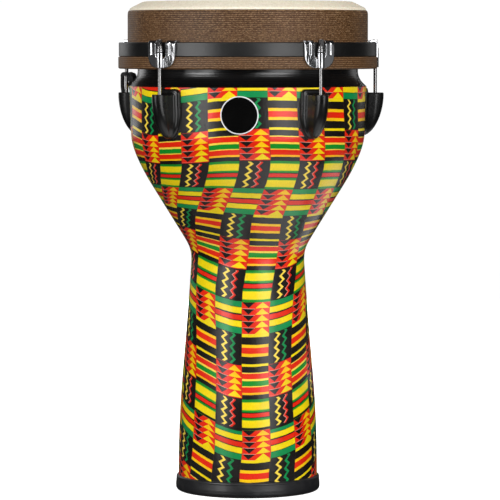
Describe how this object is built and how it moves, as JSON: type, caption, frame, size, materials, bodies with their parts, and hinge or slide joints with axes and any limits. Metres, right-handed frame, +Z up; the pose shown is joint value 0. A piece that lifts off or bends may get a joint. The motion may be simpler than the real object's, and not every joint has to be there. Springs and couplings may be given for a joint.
{
  "type": "djembe",
  "caption": "Goblet-shaped hand drum: synthetic shell wrapped in strip-woven pattern cloth, key-tuned head with a black hoop and chrome claws, round bare badge, rubber foot ring.",
  "frame": {"origin": "centre of the base ring's underside, on the drum's axis", "axes": "+Z up along the drum's axis, -Y towards the badge side, +X to the right when looking at the badge"},
  "size_m": [0.3428, 0.3445, 0.623],
  "materials": {
    "shell": "gloss black gel coat over laminated glass fibre",
    "cloth_wrap": "strip-woven pattern cloth under clear semi-gloss lacquer",
    "base_ring": "satin moulded rubber",
    "head_skin": "off-white synthetic film, lightly textured",
    "head_collar": "brown woven-grain covering, matt",
    "flesh_hoop": "brown woven-grain covering over a hoop, matt",
    "tuning_hoop": "satin black powder coat",
    "claw_chrome": "polished chrome on cast metal",
    "rod_steel": "bright plated steel",
    "washer_steel": "zinc-plated steel",
    "bush_plastic": "black nylon",
    "lug_black": "gloss black powder coat on cast metal",
    "nut_brass": "plain brass",
    "gasket_rubber": "matt black rubber",
    "badge_black": "gloss black enamel",
    "badge_silver": "polished silver rim",
    "cord_black": "braided black cord"
  },
  "bodies": {
    "drum": {"shell_foot": "shell", "shell_bowl": "shell", "shell_rim": "shell", "cloth_wrap": "cloth_wrap", "base_ring": "base_ring", "lug_front_left": "lug_black", "lug_front_right": "lug_black", "lug_right_rear": "lug_black", "lug_back": "lug_black", "lug_left_rear": "lug_black", "lug_nuts": "nut_brass", "lug_gaskets": "gasket_rubber", "lug_screws": "washer_steel", "lug_screw_washers": "washer_steel", "badge_disc": "badge_black", "badge_rim": "badge_silver", "cord_loop": "cord_black"},
    "head": {"head_skin": "head_skin", "head_collar": "head_collar", "flesh_hoop": "flesh_hoop", "tuning_hoop": "tuning_hoop", "claw_front_left": "claw_chrome", "claw_front_right": "claw_chrome", "claw_right_rear": "claw_chrome", "claw_back": "claw_chrome", "claw_left_rear": "claw_chrome", "rod_washers": "washer_steel", "rod_bushes": "bush_plastic"},
    "rod_front_left": {"rod_front_left": "rod_steel"},
    "rod_front_right": {"rod_front_right": "rod_steel"},
    "rod_right_rear": {"rod_right_rear": "rod_steel"},
    "rod_back": {"rod_back": "rod_steel"},
    "rod_left_rear": {"rod_left_rear": "rod_steel"}
  },
  "joints": [
    {"name": "head_lift", "type": "slide", "parent": "drum", "child": "head", "axis": [0, 0, 1], "range_m": [0, 0.01]},
    {"name": "rod_turn_front_left", "type": "hinge", "parent": "head", "child": "rod_front_left", "pos_m": [-0.09916, -0.13648, 0.5], "axis": [0, 0, 1], "range_deg": [0, 4501]},
    {"name": "rod_turn_front_right", "type": "hinge", "parent": "head", "child": "rod_front_right", "pos_m": [0.09916, -0.13648, 0.5], "axis": [0, 0, 1], "range_deg": [0, 4501]},
    {"name": "rod_turn_right_rear", "type": "hinge", "parent": "head", "child": "rod_right_rear", "pos_m": [0.16044, 0.05213, 0.5], "axis": [0, 0, 1], "range_deg": [0, 4501]},
    {"name": "rod_turn_back", "type": "hinge", "parent": "head", "child": "rod_back", "pos_m": [0, 0.1687, 0.5], "axis": [0, 0, 1], "range_deg": [0, 4501]},
    {"name": "rod_turn_left_rear", "type": "hinge", "parent": "head", "child": "rod_left_rear", "pos_m": [-0.16044, 0.05213, 0.5], "axis": [0, 0, 1], "range_deg": [0, 4501]}
  ],
  "couplings": [
    {"joint": "rod_turn_front_left", "follows": "head_lift", "rad_per_m": 7854},
    {"joint": "rod_turn_front_right", "follows": "head_lift", "rad_per_m": 7854},
    {"joint": "rod_turn_right_rear", "follows": "head_lift", "rad_per_m": 7854},
    {"joint": "rod_turn_back", "follows": "head_lift", "rad_per_m": 7854},
    {"joint": "rod_turn_left_rear", "follows": "head_lift", "rad_per_m": 7854}
  ]
}
